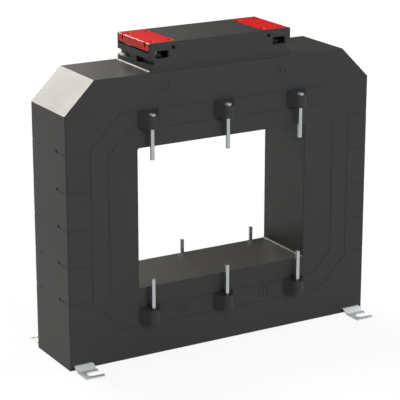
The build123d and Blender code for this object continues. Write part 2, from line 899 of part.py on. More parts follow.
# Clamp screws: head end away from the window, tip in front of it
screw_shape = clamp_screw()
nut_shape = clamp_nut()
head_seat = boss_height / 2 - screw_head_height + screw_head_rise
nut_seat = -boss_height / 2 + nut_from_window_end
columns = ("left", "middle", "right")
for face_name, face_turn in (("front", no_turn), ("rear", half_turn)):
    nut_locations = []
    for row_name, head_up in (("top", True), ("bottom", False)):
        for column, place in enumerate(boss_places(head_up)):
            on_axis = face_turn * place * Location((0, -screw_standoff, 0))
            name_column = columns[column] if face_name == "front" else columns[2 - column]
            with BuildPart() as screw:
                with Locations(on_axis * Location((0, 0, head_seat))):
                    add(screw_shape)
            save(screw.part, f"clamp_screw_{face_name}_{row_name}_{name_column}")
            nut_locations.append(on_axis * Location((0, 0, nut_seat)))
    with BuildPart() as nuts:
        with Locations(*nut_locations):
            add(nut_shape)
    save(nuts.part, f"{face_name}_clamp_nuts")


def foot():
    """Front foot: bent sheet with its tongue towards +Y and a slot that opens towards +X."""
    centre_low = foot_pad_height + foot_thickness / 2
    centre_high = foot_tongue_height + foot_thickness / 2
    with BuildPart() as sheet:
        with BuildSketch(Plane.YZ):
            with BuildLine():
                FilletPolyline(
                    (foot_tongue_length, centre_high), (0, centre_high),
                    (-foot_slope_run, centre_low), (-foot_reach, centre_low), radius=foot_bend_radius,
                )
            trace(line_width=foot_thickness)
        extrude(amount=foot_width / 2, both=True)
        outer_corners = sheet.edges().filter_by(Axis.Z).group_by(Axis.Y)[0]
        fillet(outer_corners, foot_corner_round)
        with BuildSketch(Plane.XY):
            with Locations((0, -foot_slot_distance)):
                Circle(foot_slot_width / 2)
                Rectangle(foot_width, foot_slot_width, align=(Align.MIN, Align.CENTER))
        extrude(amount=foot_tongue_height, mode=Mode.SUBTRACT)
        with Locations((0, foot_catch_inset, foot_tongue_height)):
            Cylinder(foot_catch_radius, foot_thickness + overcut,
                     align=(Align.CENTER, Align.CENTER, Align.MIN), mode=Mode.SUBTRACT)
    return sheet.part


foot_shape = foot()
for face_name, face_turn in (("front", no_turn), ("rear", half_turn)):
    for side_name, side in (("left", -1), ("right", 1)):
        x = side * foot_distance if face_name == "front" else -side * foot_distance
        with BuildPart() as foot_piece:
            with Locations(face_turn * Location((x, -half_depth, 0))):
                add(foot_shape)
        save(foot_piece.part, f"foot_{face_name}_{side_name}")
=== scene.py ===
"""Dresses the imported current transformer: finishes, threaded screws, sloping bosses, filled
grooves, mould marks and the stage."""

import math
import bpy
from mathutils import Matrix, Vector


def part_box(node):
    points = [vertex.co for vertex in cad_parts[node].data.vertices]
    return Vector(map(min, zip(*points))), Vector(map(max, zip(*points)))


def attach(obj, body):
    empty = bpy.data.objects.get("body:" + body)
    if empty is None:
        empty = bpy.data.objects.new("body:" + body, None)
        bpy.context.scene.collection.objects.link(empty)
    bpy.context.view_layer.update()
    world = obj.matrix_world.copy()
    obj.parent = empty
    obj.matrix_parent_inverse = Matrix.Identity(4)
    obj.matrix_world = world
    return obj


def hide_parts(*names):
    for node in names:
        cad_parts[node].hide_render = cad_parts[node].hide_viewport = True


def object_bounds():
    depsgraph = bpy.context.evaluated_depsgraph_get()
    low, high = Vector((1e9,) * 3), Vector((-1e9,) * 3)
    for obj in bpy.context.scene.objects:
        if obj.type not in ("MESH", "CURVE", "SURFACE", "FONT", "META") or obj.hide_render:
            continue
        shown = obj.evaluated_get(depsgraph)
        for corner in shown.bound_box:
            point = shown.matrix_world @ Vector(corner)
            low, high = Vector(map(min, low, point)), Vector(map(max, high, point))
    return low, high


bl_info = {
    "name": "Window Current Transformer",
    "version": (1, 0, 0),
    "blender": (4, 5, 0),
    "location": "View3D > Sidebar > Transformer",
    "description": "Gives a window type current transformer its finishes, threads, marks and stage",
    "category": "Object",
}

import bmesh
import bpy
import numpy as np
from bpy.props import FloatProperty, FloatVectorProperty, IntProperty, PointerProperty
from mathutils import Matrix, Vector

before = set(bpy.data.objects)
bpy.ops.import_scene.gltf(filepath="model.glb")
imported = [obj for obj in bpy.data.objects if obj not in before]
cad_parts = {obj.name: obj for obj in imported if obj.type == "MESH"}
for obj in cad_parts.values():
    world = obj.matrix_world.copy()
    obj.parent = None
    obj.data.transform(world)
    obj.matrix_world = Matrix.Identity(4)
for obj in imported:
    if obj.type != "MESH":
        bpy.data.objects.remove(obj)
CAD_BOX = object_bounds()

# Stage, in metres, and in watts for each square metre of a softbox of strength one
SOFTBOX_DISTANCE = 6.0
SOFTBOX_WATTS = 4
FLOOR_REACH = 8.0
FLOOR_DROP = 0.0002
FLOOR_CLOUD = 0.6
FLOOR_DARK = 0.99
SENSOR_WIDTH = 36

# Finishes: the width of the clouds, the detail of the noise, the shares of a colour between which
# it moves, and how far the roughness swings
PLASTIC_CLOUD = 0.035
METAL_CLOUD = 0.006
FINE_DETAIL = 4
METAL_CLOUD_DETAIL = 3
CLOUD_DETAIL = 2
GRAIN_IN_COLOUR = 0.6
CLOUD_IN_COLOUR = 0.4
COLOUR_DARK = 0.86
PLASTIC_LIGHT = 1.14
METAL_LIGHT = 1.12
# Share of a colour left where shade is painted into narrow recesses
PAINTED_SHADE_TONE = 0.02
WIRE_DARK = 0.5
PLASTIC_CLOUD_SWING = 0.08
PLASTIC_GRAIN_SWING = 0.10
METAL_LINE_SWING = 0.16
METAL_CLOUD_SWING = 0.14

# Meshes: what is merged and dissolved, and the angle up to which faces are smooth
MERGE_DISTANCE = 1e-7
DISSOLVE_DISTANCE = 1e-8
SMOOTH_ANGLE = math.radians(35)

# Clamp screws: rows in one turn of the thread, how it tapers, the tip's share of the root's radius,
# the turn in radians from the head's rim towards its middle, and shares of the cross recess
THREAD_STEPS = 4
TAPER_FROM = 0.35
TAPER_DEPTH = 1.6
TIP_SHARE = 0.8
DOME_TURN = 0.9
DOME_ROWS = 9
RECESS_LIP = 1.02
RECESS_FLOOR = 0.72
RECESS_POINT = 1.1
LEAST_SINE = 1e-6

# Faces: the level grooves of one side counted from the middle one, the turns in degrees at which
# their fill follows the housing's edge, and the font size that gives a digit of height one
LEVELS = range(-2, 3)
EDGE_TURNS = (0, 15, 30, 45)
DIGIT_SIZE = 1.35

SHELL_NODES = ("front_shell", "rear_shell")
BLACK_NODES = (*SHELL_NODES, "terminal_housing")
COVER_NODES = ("left_terminal_cover", "right_terminal_cover")
CASE_NODES = ("core_case_front", "core_case_rear")
WINDING_NODES = ("winding_left", "winding_right", "winding_top", "winding_bottom")
LEAD_NODES = ("left_lead", "right_lead")
PIN_NODES = ("left_hinge_pin", "right_hinge_pin")
NUT_NODES = ("front_clamp_nuts", "rear_clamp_nuts")
FOOT_NODES = tuple(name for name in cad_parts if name.startswith("foot_"))
CLAMP_SCREW_NODES = tuple(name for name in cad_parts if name.startswith("clamp_screw_"))
TERMINAL_SCREW_NODES = tuple(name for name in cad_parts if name.startswith("terminal_screw_"))
BRASS_NODES = tuple(
    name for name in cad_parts
    if name.startswith("clamp_washer_") or name.endswith("_terminal_bar")
)


def colour_property(label, text, default):
    """A linear colour that the user can change."""
    return FloatVectorProperty(name=label, description=text, subtype="COLOR", size=3, min=0, max=1,
                               default=default)


def length_property(label, text, default):
    """A length in metres that the user can change."""
    return FloatProperty(name=label, description=text, unit="LENGTH", subtype="DISTANCE", min=0,
                         default=default, precision=5)


def share_property(label, text, default):
    """A share from nothing to all."""
    return FloatProperty(name=label, description=text, subtype="FACTOR", min=0, max=1,
                         default=default)


def strength_property(label, text, default):
    """Strength of a light."""
    return FloatProperty(name=label, description=text, min=0, default=default)


def direction_property(label, text, default):
    """Direction from the middle of the housing."""
    return FloatVectorProperty(name=label, description=text, subtype="DIRECTION", size=3,
                               default=default)


def size_property(label, text, default):
    """Width and height in metres."""
    return FloatVectorProperty(name=label, description=text, unit="LENGTH", size=2, min=0,
                               default=default)


class PlasticLook(bpy.types.PropertyGroup):
    """Colours and surface of the mouldings."""

    housing_colour: colour_property("Housing", "Black of the housing", (0.036, 0.035, 0.034))
    housing_roughness: share_property("Housing roughness", "Roughness of the eroded surface", 0.38)
    housing_gloss: share_property("Housing gloss", "Specular level of the eroded surface", 0.125)
    cover_colour: colour_property("Covers", "Red of the terminal covers", (0.62, 0.012, 0.012))
    cover_roughness: share_property("Cover roughness", "Gloss of the covers", 0.30)
    cover_gloss: share_property("Cover gloss", "Specular level of the covers", 0.10)
    cover_grain: share_property(
        "Cover grain", "Share of the eroded grain that the covers have", 0.25
    )
    # Where the covers' recesses get painted shade in their colour, and how dark it is
    recess_distance: length_property(
        "Recesses", "Distance of the covers' recesses from the middle", 0.016
    )
    recess_width: length_property("Recess width", "Width of the covers' recesses", 0.0021)
    recess_skin: length_property(
        "Recess skin", "Depth at which the recesses start to darken", 0.0003
    )
    recess_depth: length_property("Recess depth", "Depth to which the recesses reach", 0.0012)
    recess_shade_share: share_property("Recess dark", "How dark the recesses are", 0.85)
    case_colour: colour_property("Core case", "Natural colour of the core case", (0.72, 0.68, 0.58))
    lead_colour: colour_property("Leads", "Insulation of the leads", (0.04, 0.04, 0.045))
    grain_size: length_property("Grain", "Width of one grain of the eroded surface", 0.0009)
    grain_height: length_property("Grain height", "Height of the eroded grain", 0.00004)


class MetalLook(bpy.types.PropertyGroup):
    """Colours and surface of the metal parts."""

    foot_colour: colour_property("Feet", "Zinc plated sheet", (0.77, 0.77, 0.75))
    foot_roughness: share_property("Feet roughness", "Gloss of the zinc", 0.55)
    foot_metal: share_property("Feet metal", "Share of the feet's shine that is metallic", 0.45)
    screw_colour: colour_property("Screws", "Zinc plated screws", (0.46, 0.48, 0.50))
    screw_roughness: share_property("Screw roughness", "Gloss of the screws", 0.26)
    head_roughness: share_property(
        "Head roughness", "How much rougher the heads of the screws are", 0.40
    )
    # The terminal screws, bars and washers are coloured far darker than bright nickel: painted
    # shade for the inside of the terminal box
    shaded_terminal_screw_colour: colour_property(
        "Terminal screws", "Nickel plated screws", (0.22, 0.22, 0.22)
    )
    shaded_terminal_colour: colour_property("Terminals", "Nickel plated brass", (0.14, 0.13, 0.115))
    # The pins are painted near black, darker than their steel, as painted shade at the bottom of
    # their square windows
    pin_shaded_colour: colour_property("Pins", "Dark steel of the hinge pins", (0.008, 0.008, 0.008))
    core_colour: colour_property("Core", "Wound steel strip", (0.30, 0.30, 0.31))
    copper_colour: colour_property("Windings", "Enamelled copper wire", (0.62, 0.24, 0.10))


class ThreadSizes(bpy.types.PropertyGroup):
    """Threads and heads of the clamp screws."""

    shank: length_property("Shank", "Radius of the thread's crest", 0.0015)
    pitch: length_property("Pitch", "Distance between two turns of the thread", 0.0005)
    depth: length_property("Depth", "From the crest of the thread to its root", 0.00002)
    around: IntProperty(
        name="Points around", description="Points round the thread", default=40, min=16
    )
    head: length_property("Head", "Radius of the head", 0.0027)
    head_height: length_property("Head height", "Height of the head", 0.0026)
    head_sink: length_property("Head sink", "How far the head sits below the solid's", 0.0015)
    dome: length_property("Dome", "How far the head's middle stands above its rim", 0.0010)
    cross_length: length_property("Cross", "Length of the cross recess", 0.0028)
    cross_width: length_property("Cross width", "Width of each slot of the cross", 0.0005)
    cross_depth: length_property("Cross depth", "Depth of the cross recess", 0.0005)


class FaceSizes(bpy.types.PropertyGroup):
    """Bosses, level grooves and raised mould marks of the housing."""

    face: length_property("Face", "Distance of the front face from the middle", 0.0263)
    window_middle: length_property("Window middle", "Height of the window's middle", 0.0999)
    boss_start: length_property("Boss start", "From the window's middle to the bosses", 0.0639)
    boss_height: length_property("Boss height", "Height of a boss", 0.0114)
    upper_slope: share_property("Upper slope", "Slope of the upper bosses' head ends", 0.30)
    lower_slope: share_property("Lower slope", "Slope of the lower bosses' head ends", 0.10)
    side: length_property("Side", "Distance of the housing's side from the middle", 0.12)
    edge_round: length_property("Edge", "Radius of the housing's upright edges", 0.0012)
    level_depth: length_property("Level depth", "Depth of the level grooves in the side", 0.0007)
    level_width: length_property("Level width", "Width of the level grooves", 0.0022)
    level_pitch: length_property("Level pitch", "Distance between the level grooves", 0.0259)
    front_run: length_property("Front run", "Run of the front shell's level grooves", 0.0152)
    rear_run: length_property("Rear run", "Run of the rear shell's level grooves", 0.0122)
    level_shallow: length_property(
        "Level shallow", "Depth that the level grooves keep at the edge", 0.0001
    )
    level_end: length_property(
        "Level end", "Depth that the level grooves keep at their ends", 0.00045
    )
    ring_radius: length_property("Ring", "Radius of a mark's ring", 0.0036)
    bead: length_property("Bead", "Radius of the bead that forms the ring", 0.0003)
    digit_height: length_property("Digit", "Height of a mark's digit", 0.0040)
    relief: length_property("Relief", "How far a digit stands proud", 0.0003)
    upper_distance: length_property(
        "Upper marks", "Distance of the upper marks from the middle", 0.0461
    )
    upper_height: length_property("Upper height", "Height of the upper marks", 0.1893)
    lower_distance: length_property(
        "Lower marks", "Distance of the lower marks from the middle", 0.0334
    )
    lower_height: length_property("Lower height", "Height of the lower marks", 0.0304)


class StageSettings(bpy.types.PropertyGroup):
    """Camera, lamps and floor."""

    camera_place: FloatVectorProperty(
        name="Camera", description="Place of the camera", unit="LENGTH", size=3,
        default=(-0.59105, -1.0104, 0.45633)
    )
    camera_azimuth: FloatProperty(
        name="Azimuth", description="Turn of the view about the upright", unit="ROTATION",
        default=math.radians(30.18)
    )
    camera_elevation: FloatProperty(
        name="Elevation", description="How steeply the view looks down", unit="ROTATION",
        default=math.radians(17.09)
    )
    focal_length: FloatProperty(
        name="Lens", description="Focal length on a 36 mm frame", unit="CAMERA", default=155.8
    )
    floor_colour: colour_property("Floor", "Pale floor", (0.90, 0.90, 0.90))
    shadow_share: share_property(
        "Shadow", "How much of the floor's white its shadow may take", 0.10
    )
    world_colour: colour_property("World", "Colour of the light from all round", (1.0, 0.99, 0.97))
    world_strength: strength_property("World strength", "Light from all round", 0.02)
    key_strength: strength_property("Key", "Light of the softbox behind", 19.5)
    key_direction: direction_property(
        "Key direction", "Where the softbox behind hangs", (-0.16, 0.89, 0.42)
    )
    key_size: size_property("Key size", "Width and height of the softbox behind", (3.5, 2.0))
    edge_strength: strength_property("Key edge", "Light of the dimmer softbox beside the key", 6.2)
    edge_direction: direction_property(
        "Key edge direction", "Where the dimmer softbox hangs", (0.22, 0.88, 0.42)
    )
    edge_size: size_property("Key edge size", "Width and height of the dimmer softbox", (1.7, 2.0))
    key_tint: colour_property("Key tint", "Colour of both softboxes behind", (1.0, 0.97, 0.90))
    over_strength: strength_property("Overhead", "Light of the softbox overhead", 2.6)
    over_direction: direction_property(
        "Overhead direction", "Where the overhead softbox hangs", (0.45, -0.05, 0.88)
    )
    over_size: size_property(
        "Overhead size", "Width and height of the overhead softbox", (3.8, 3.8)
    )
    over_tint: colour_property("Overhead tint", "Colour of the overhead softbox", (0.85, 0.94, 1.0))
    front_strength: strength_property("Front", "Light of the softbox in front", 6.9)
    front_direction: direction_property(
        "Front direction", "Where the front softbox hangs", (0.05, -0.90, 0.42)
    )
    front_size: size_property("Front size", "Width and height of the front softbox", (3.0, 3.0))
    front_tint: colour_property("Front tint", "Colour of the front softbox", (0.97, 0.985, 1.0))


class Signal:
    """A socket in an expression: each operator on it adds one Math node."""

    def __init__(self, paint, socket):
        self.paint = paint
        self.socket = socket

    def maths(self, operation, first, second):
        """Adds one Math node."""
        inputs = {0: first, 1: second}
        return self.paint.add("ShaderNodeMath", {"operation": operation}, inputs, "Value")

    def __add__(self, other):
        return self.maths("ADD", self, other)

    __radd__ = __add__

    def __sub__(self, other):
        return self.maths("SUBTRACT", self, other)

    def __rsub__(self, other):
        return self.maths("SUBTRACT", other, self)

    def __mul__(self, other):
        return self.maths("MULTIPLY", self, other)

    def __abs__(self):
        return self.maths("ABSOLUTE", self, 0)

    def below(self, limit):
        """One where the value is less than the limit, nothing elsewhere."""
        return self.maths("LESS_THAN", self, limit)

    def swing(self, span):
        """Turns a value from nothing to one into a swing of this span about nothing."""
        return (self - 0.5) * span


class Paint:
    """Builds one material from nodes."""

    def __init__(self, name):
        self.material = bpy.data.materials.new(name)
        self.material.use_nodes = True
        self.tree = self.material.node_tree
        self.tree.nodes.clear()

    def add(self, kind, settings=None, inputs=None, output=0):
        """Adds a node: settings first, then the values or links of its inputs. The result is one
        of its outputs."""
        node = self.tree.nodes.new(kind)
        for key, value in (settings or {}).items():
            setattr(node, key, value)
        for key, value in (inputs or {}).items():
            socket = node.inputs[key]
            if isinstance(value, Signal):
                self.tree.links.new(value.socket, socket)
            elif socket.type == "RGBA" and len(value) == 3:
                socket.default_value = (*value, 1)
            else:
                socket.default_value = value
        return Signal(self, node.outputs[output])

    def place(self, scale=(1, 1, 1)):
        """Object coordinates, stretched along each axis."""
        here = self.add("ShaderNodeTexCoord", output="Object")
        return self.add("ShaderNodeMapping", {}, {"Vector": here, "Scale": scale}, "Vector")

    def axes(self):
        """X, Y and Z of the object coordinates, each as a number."""
        here = self.add("ShaderNodeTexCoord", output="Object")
        return [self.add("ShaderNodeSeparateXYZ", {}, {"Vector": here}, axis) for axis in "XYZ"]

    def noise(self, place, feature, detail):
        """Noise whose blobs are about as wide as the feature, in metres."""
        inputs = {"Vector": place, "Scale": 1 / feature, "Detail": detail}
        return self.add("ShaderNodeTexNoise", {}, inputs, 0)

    def bump(self, height, distance):
        """Normal of a relief whose height is a value from nothing to one, times the distance."""
        inputs = {"Height": height, "Strength": 1.0, "Distance": distance}
        return self.add("ShaderNodeBump", {}, inputs, "Normal")

    def blend(self, share, first, second):
        """Mixes two colours."""
        return self.add("ShaderNodeMix", {"data_type": "RGBA"}, {0: share, 6: first, 7: second}, 2)

    def surface(self, inputs):
        """Closes the material with a Principled shader."""
        shader = self.add("ShaderNodeBsdfPrincipled", {}, inputs, "BSDF")
        self.add_output(shader)
        return self.material

    def add_output(self, shader):
        """Links a shader to the material's output."""
        out = self.tree.nodes.new("ShaderNodeOutputMaterial")
        self.tree.links.new(shader.socket, out.inputs["Surface"])


def shade(colour, share):
    """A colour made lighter or darker by a share."""
    return tuple(min(1.0, c * share) for c in colour)


def moulded_plastic(name, colour, roughness, look, gloss=0.5, grain_share=1.0, painted_shade=None):
    """Eroded plastic: fine grain in the relief, and grain and soft clouds in colour and gloss. The
    last argument is a function that gives a mask of narrow recesses, where shade is painted into
    the colour."""
    paint = Paint(name)
    here = paint.place()
    grain = paint.noise(here, look.grain_size, FINE_DETAIL)
    cloud = paint.noise(here, PLASTIC_CLOUD, CLOUD_DETAIL)
    speck = grain * GRAIN_IN_COLOUR + cloud * CLOUD_IN_COLOUR
    base = paint.blend(speck, shade(colour, COLOUR_DARK), shade(colour, PLASTIC_LIGHT))
    # Painted shade: inside the masked recesses the colour is darkened towards a near black
    if painted_shade:
        base = paint.blend(painted_shade(paint) * look.recess_shade_share, base, shade(colour, PAINTED_SHADE_TONE))
    swing = cloud.swing(PLASTIC_CLOUD_SWING), grain.swing(PLASTIC_GRAIN_SWING)
    return paint.surface({
        "Base Color": base,
        "Roughness": roughness + swing[0] + swing[1],
        "Specular IOR Level": gloss,
        "Normal": paint.bump(grain, look.grain_height * grain_share),
    })


def cover_recess_shade(paint):
    """Mask of the shade painted into the covers' recesses: within their width, deeper than the
    outer faces, and not as deep as the inner ones."""
    x, y, z = paint.axes()
    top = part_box(COVER_NODES[1])[1]
    look = bpy.context.scene.transformer_plastic
    across = abs(abs(y) - look.recess_distance).below(look.recess_width / 2)
    outer = abs(x).below(top.x - look.recess_skin) * z.below(top.z - look.recess_skin)
    inner = abs(x).below(top.x - look.recess_depth) * z.below(top.z - look.recess_depth)
    return across * outer * (1 - inner)


def plated_metal(name, colour, roughness, streak=(1, 1, 1), feature=0.0012, relief=0.000004,
                 heads=None, metallic=1.0):
    """Plated metal: fine streaks in the relief, and streaks and clouds in colour and gloss. The
    heads are a function that gives what is added to the roughness."""
    paint = Paint(name)
    if heads:
        roughness = heads(paint) + roughness
    line = paint.noise(paint.place(streak), feature, FINE_DETAIL)
    cloud = paint.noise(paint.place(), METAL_CLOUD, METAL_CLOUD_DETAIL)
    speck = line * 0.5 + cloud * 0.5
    swing = line.swing(METAL_LINE_SWING), cloud.swing(METAL_CLOUD_SWING)
    return paint.surface({
        "Base Color": paint.blend(speck, shade(colour, COLOUR_DARK), shade(colour, METAL_LIGHT)),
        "Metallic": metallic,
        "Roughness": roughness + swing[0] + swing[1],
        "Normal": paint.bump(line, relief),
    })


def head_roughness(paint):
    """Roughness that the heads of the clamp screws have more than their threads. A head begins
    beyond the middle of its boss."""
    height = paint.axes()[2]
    sizes = bpy.context.scene.transformer_faces
    thread = abs(height - sizes.window_middle).below(sizes.boss_start + sizes.boss_height / 2)
    return (1 - thread) * bpy.context.scene.transformer_metal.head_roughness


def wound_wire(name, colour):
    """Windings of enamelled wire: a fine ripple across the turns."""
    paint = Paint(name)
    here = paint.place()
    wave = paint.add("ShaderNodeTexWave", {"wave_type": "BANDS", "bands_direction": "DIAGONAL"},
                     {"Vector": here, "Scale": 180.0, "Distortion": 0.4}, "Fac")
    return paint.surface({
        "Base Color": paint.blend(wave, shade(colour, WIRE_DARK), colour),
        "Metallic": 0.6,
        "Roughness": 0.38,
        "Normal": paint.bump(wave, distance=0.0003),
    })


def give(names, material):
    """Puts one material on each named CAD node."""
    for name in names:
        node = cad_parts[name]
        node.data.materials.clear()
        node.data.materials.append(material)


def grid_mesh(name, points, closed_columns=True):
    """Mesh over a grid of points, rows by columns. Closed columns meet again after a full turn."""
    rows, columns = points.shape[:2]
    index = np.arange(rows * columns).reshape(rows, columns)
    following = np.roll(index, -1, axis=1) if closed_columns else index[:, 1:]
    here = index if closed_columns else index[:, :-1]
    quads = np.stack([here[:-1], following[:-1], following[1:], here[1:]], axis=-1).reshape(-1, 4)
    mesh = bpy.data.meshes.new(name)
    mesh.from_pydata(points.reshape(-1, 3), [], quads.tolist())
    mesh.validate()
    return mesh


def finished(name, mesh, material, body, smooth_angle=SMOOTH_ANGLE):
    """Cleans a mesh, makes it an object at the origin and lets it ride on its body."""
    tool = bmesh.new()
    tool.from_mesh(mesh)
    bmesh.ops.remove_doubles(tool, verts=tool.verts, dist=MERGE_DISTANCE)
    bmesh.ops.dissolve_degenerate(tool, edges=tool.edges, dist=DISSOLVE_DISTANCE)
    bmesh.ops.recalc_face_normals(tool, faces=tool.faces)
    tool.to_mesh(mesh)
    tool.free()
    mesh.materials.append(material)
    piece = bpy.data.objects.new(name, mesh)
    bpy.context.scene.collection.objects.link(piece)
    mesh.shade_smooth()
    mesh.set_sharp_from_angle(angle=smooth_angle)
    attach(piece, body)
    return piece


def thread_rows(radius, low, high, sizes, angle):
    """Rows of a helical thread. Row k lies at height low + pitch * (k / steps + angle / turn - 1),
    clipped to the ends, and its radius steps crest, crest, root, root. Over the first pitch it is
    at most radius - depth * TAPER_DEPTH * (1 - taper), where the taper is the height in pitches,
    at least TAPER_FROM."""
    turns = int((high - low) / sizes.pitch) + 2
    step = np.arange(THREAD_STEPS * turns)
    turned = step[:, None] / THREAD_STEPS + angle[None, :] / math.tau - 1
    height = np.clip(low + sizes.pitch * turned, low, high)
    crest = (step % THREAD_STEPS < THREAD_STEPS / 2)[:, None]
    taper = np.clip((height - low) / sizes.pitch, TAPER_FROM, 1)
    rho = np.where(crest, radius, radius - sizes.depth) * np.ones_like(height)
    rho = np.minimum(rho, radius - sizes.depth * TAPER_DEPTH * (1 - taper))
    return np.stack([rho, height], axis=-1)


def cross_outline(angle, sizes):
    """Radius of the cross recess at each angle: the further reach of its two crossing slots."""
    half = sizes.cross_width / 2
    reach = sizes.cross_length / 2
    along_x = np.minimum(reach, half / np.maximum(np.abs(np.sin(angle)), LEAST_SINE))
    along_y = np.minimum(reach, half / np.maximum(np.abs(np.cos(angle)), LEAST_SINE))
    return np.maximum(along_x, along_y)


def ring_row(rho, height, angle):
    """One row of the grid at a radius and height, each a number or one value for each angle."""
    row = (np.broadcast_to(value, angle.shape) for value in (rho, height))
    return np.stack(list(row), axis=-1)


def clamp_screw_points(top, sizes):
    """Grid of a threaded screw about the upright, tip at zero and head up: tip, thread, head and
    recess. The head is half an ellipse turned round, height = rim + dome * sqrt(1 - (rho / head)
    ** 2), whose rows lie at rho = head * cos(turn)."""
    angle = np.linspace(0, math.tau, sizes.around, endpoint=False)
    seat = top - sizes.head_height
    rim = top - sizes.dome
    recess = cross_outline(angle, sizes)

    def on_dome(rho):
        """The row that lies on the dome at this radius."""
        height = rim + sizes.dome * np.sqrt(np.maximum(0, 1 - (rho / sizes.head) ** 2))
        return ring_row(rho, height, angle)

    rows = [ring_row(0, 0, angle), ring_row((sizes.shank - sizes.depth) * TIP_SHARE, 0, angle)]
    rows += list(thread_rows(sizes.shank, 0, seat, sizes, angle))
    rows += [ring_row(sizes.shank, seat, angle), ring_row(sizes.head, seat, angle)]
    rows += [on_dome(sizes.head * math.cos(turn)) for turn in np.linspace(0, DOME_TURN, DOME_ROWS)]
    rows += [
        on_dome(recess * 0.5 + sizes.head * math.cos(DOME_TURN) * 0.5),
        on_dome(recess * RECESS_LIP),
        on_dome(recess),
        ring_row(recess * RECESS_FLOOR, top - sizes.cross_depth, angle),
        ring_row(0, top - sizes.cross_depth * RECESS_POINT, angle),
    ]
    grid = np.stack(rows)
    rho, height = grid[..., 0], grid[..., 1]
    return np.stack([rho * np.cos(angle), rho * np.sin(angle), height], axis=-1)


def sloping_bosses(name, sizes):
    """Replaces a shell by a copy whose bosses slope at their head ends. A point at a distance d
    beyond the face moves towards the window's middle by slope * d * share, where the share runs
    from nothing at the boss's window end to one at its head end."""
    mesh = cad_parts[name].data.copy()
    points = np.empty(3 * len(mesh.vertices))
    mesh.vertices.foreach_get("co", points)
    points = points.reshape(-1, 3)
    ahead = np.maximum(0, np.abs(points[:, 1]) - sizes.face)
    rise = points[:, 2] - sizes.window_middle
    share = np.clip((np.abs(rise) - sizes.boss_start) / sizes.boss_height, 0, 1)
    slope = np.where(rise > 0, sizes.upper_slope, -sizes.lower_slope)
    points[:, 2] -= slope * ahead * share
    mesh.vertices.foreach_set("co", points.ravel())
    mesh.update()
    piece = bpy.data.objects.new(name + "_bosses", mesh)
    bpy.context.scene.collection.objects.link(piece)
    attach(piece, "housing")
    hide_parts(name)


def level_section(run, sizes):
    """Plan of what fills a level groove, in x and y at the right rear: it follows the rounded edge
    and then sinks evenly to the depth kept at the groove's end."""
    floor = sizes.side - sizes.level_depth
    keep = sizes.level_shallow
    middle = (sizes.side - sizes.edge_round, sizes.face - sizes.edge_round)
    edge = [
        (middle[0] + (sizes.edge_round - keep) * math.cos(turn),
         middle[1] + (sizes.edge_round - keep) * math.sin(turn))
        for turn in np.radians(EDGE_TURNS)
    ]
    end = sizes.face - run
    return [(floor, end), (sizes.side - sizes.level_end, end), *edge, (floor, edge[-1][1])]


def level_fill(name, end, run, sizes):
    """Mesh that fills the level grooves of one shell on both sides. The end is -1 in front and 1
    behind."""
    tool = bmesh.new()
    section = level_section(run, sizes)
    half = sizes.level_width / 2
    for level in LEVELS:
        height = sizes.window_middle + level * sizes.level_pitch
        for side in (-1, 1):
            low, high = (
                [tool.verts.new((side * x, end * y, z)) for x, y in section]
                for z in (height - half, height + half)
            )
            tool.faces.new(low)
            tool.faces.new(high)
            for k in range(len(section)):
                tool.faces.new((low[k - 1], low[k], high[k], high[k - 1]))
    mesh = bpy.data.meshes.new(name)
    tool.to_mesh(mesh)
    tool.free()
    return mesh


def bead_ring(centre, radius, bead, around=48, section=8):
    """Half sunk bead carried round a circle in the front face: two angles, one round the circle
    and one round the bead, at rho = radius + bead * cos(roll) from the circle's centre and
    bead * sin(roll) from the face."""
    turn = np.linspace(0, math.tau, around, endpoint=False)[:, None]
    roll = np.linspace(0, math.tau, section, endpoint=False)[None, :]
    rho = radius + bead * np.cos(roll)
    x = centre[0] + rho * np.cos(turn)
    z = centre[2] + rho * np.sin(turn)
    y = centre[1] + bead * np.sin(roll) * np.ones_like(turn)
    points = np.stack([x, y, z], axis=-1)
    return np.concatenate([points, points[:1]], axis=0)


def digit_mesh(text, height, relief, centre):
    """Mesh of one digit, upright in the front face and standing proud of it."""
    curve = bpy.data.curves.new("digit_curve", "FONT")
    curve.body = text
    curve.size = height * DIGIT_SIZE
    curve.align_x = "CENTER"
    curve.align_y = "CENTER"
    curve.extrude = relief
    writing = bpy.data.objects.new("digit_writing", curve)
    bpy.context.scene.collection.objects.link(writing)
    evaluated = writing.evaluated_get(bpy.context.evaluated_depsgraph_get())
    mesh = bpy.data.meshes.new_from_object(evaluated)
    bpy.data.objects.remove(writing)
    mesh.transform(Matrix.Translation(centre) @ Matrix.Rotation(math.pi / 2, 4, "X"))
    return mesh


class TRANSFORMER_OT_housing(bpy.types.Operator):
    """Finish the housing in eroded black plastic, slope its bosses and fill its side grooves"""

    bl_idname = "transformer.housing"
    bl_label = "Housing"

    def execute(self, context):
        look = context.scene.transformer_plastic
        sizes = context.scene.transformer_faces
        black = moulded_plastic("housing_plastic", look.housing_colour, look.housing_roughness,
                                look, look.housing_gloss)
        give(BLACK_NODES, black)
        for name, end, run in zip(SHELL_NODES, (-1, 1), (sizes.front_run, sizes.rear_run)):
            sloping_bosses(name, sizes)
            fill = level_fill(name + "_levels", end, run, sizes)
            finished(name + "_levels", fill, black, "housing")
        return {"FINISHED"}


class TRANSFORMER_OT_covers(bpy.types.Operator):
    """Finish the terminal covers in red with shade painted into their recesses, and their pins in
    steel painted near black for the shade of their windows
    """

    bl_idname = "transformer.covers"
    bl_label = "Terminal covers"

    def execute(self, context):
        look = context.scene.transformer_plastic
        metal = context.scene.transformer_metal
        red = moulded_plastic("cover_plastic", look.cover_colour, look.cover_roughness, look,
                              look.cover_gloss, look.cover_grain, painted_shade=cover_recess_shade)
        give(COVER_NODES, red)
        # Painted shade: the pins are near black so that their square windows look dark
        give(PIN_NODES, plated_metal("pin_steel", metal.pin_shaded_colour, roughness=0.4))
        return {"FINISHED"}


